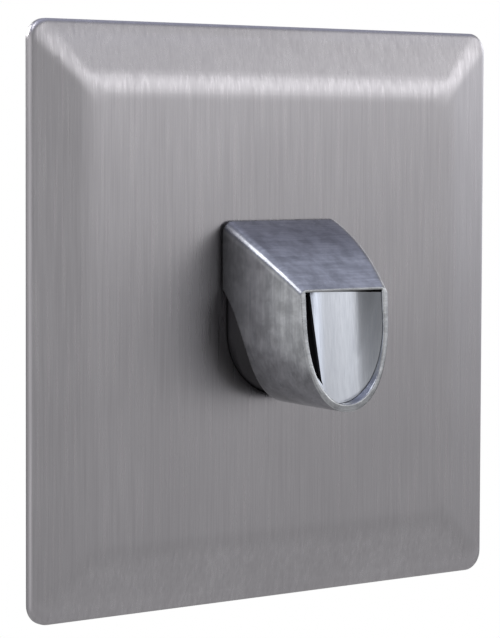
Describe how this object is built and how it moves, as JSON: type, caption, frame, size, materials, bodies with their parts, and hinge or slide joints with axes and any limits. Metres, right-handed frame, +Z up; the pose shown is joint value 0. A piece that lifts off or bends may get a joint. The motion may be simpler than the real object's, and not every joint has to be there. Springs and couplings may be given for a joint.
{
  "type": "rocker wall switch",
  "caption": "Square bevelled screwless metal wall plate with a projecting tapered rocker cap and a complete two-way snap switch module behind it.",
  "frame": {"origin": "centre of the plate on the wall plane", "axes": "+X right as the user faces the switch, +Z up, +Y into the wall; the rocker stands at negative Y"},
  "size_m": [0.086, 0.0445, 0.086],
  "materials": {
    "plate_metal": "vertical brushed satin stainless steel",
    "cap_metal": "brushed satin chrome on cast zinc",
    "dish_metal": "fine vertical brushing, bright",
    "black_moulding": "fine matt black",
    "frame_nylon": "natural nylon",
    "yoke_steel": "zinc plated pressed steel",
    "screw_steel": "zinc plated",
    "housing_plastic": "moulded off-white urea",
    "pin_steel": "ground steel",
    "spring_steel": "drawn spring wire",
    "brass": "machined brass",
    "contact_brass": "rolled strip",
    "contact_silver": "silver alloy",
    "plunger_nylon": "smooth acetal"
  },
  "bodies": {
    "plate_and_module": {"cover_plate": "plate_metal", "clip_frame": "frame_nylon", "mounting_yoke": "yoke_steel", "box_screws": "screw_steel", "switch_cover": "housing_plastic", "switch_base": "housing_plastic", "module_screws": "screw_steel", "pivot_pins": "pin_steel", "terminal_com": "brass", "terminal_l1": "brass", "terminal_l2": "brass", "terminal_screws": "screw_steel", "earth_terminal": "brass", "earth_screw": "screw_steel", "earth_rivet": "brass", "contact_l1": "contact_brass", "contact_l2": "contact_brass", "fixed_contact_tips": "contact_silver", "common_bridge": "contact_brass"},
    "rocker": {"rocker_cap": "cap_metal", "finger_dish": "dish_metal", "dish_carrier": "black_moulding", "cap_screw": "screw_steel", "rocker_core": "black_moulding", "detent_spring": "spring_steel"},
    "plunger_body": {"plunger": "plunger_nylon"},
    "see_saw": {"moving_contact": "contact_brass", "moving_contact_tips": "contact_silver"}
  },
  "joints": [
    {"name": "rocker_tilt", "type": "hinge", "parent": "plate_and_module", "child": "rocker", "pos_m": [0, 0.001, 0], "axis": [1, 0, 0], "range_deg": [0, 14]},
    {"name": "plunger_slide", "type": "slide", "parent": "rocker", "child": "plunger_body", "axis": [0, 0.9925, -0.1219], "range_m": [-0.0006, 0.0001], "stiffness_N_per_m": 200, "springref_m": 0.002, "deforming": ["detent_spring"]},
    {"name": "contact_tilt", "type": "hinge", "parent": "plate_and_module", "child": "see_saw", "pos_m": [0, 0.01, 0], "axis": [1, 0, 0], "range_deg": [-8, 0]}
  ],
  "couplings": [
    {"joint": "contact_tilt", "follows": "rocker_tilt", "ratio": -0.57143}
  ]
}
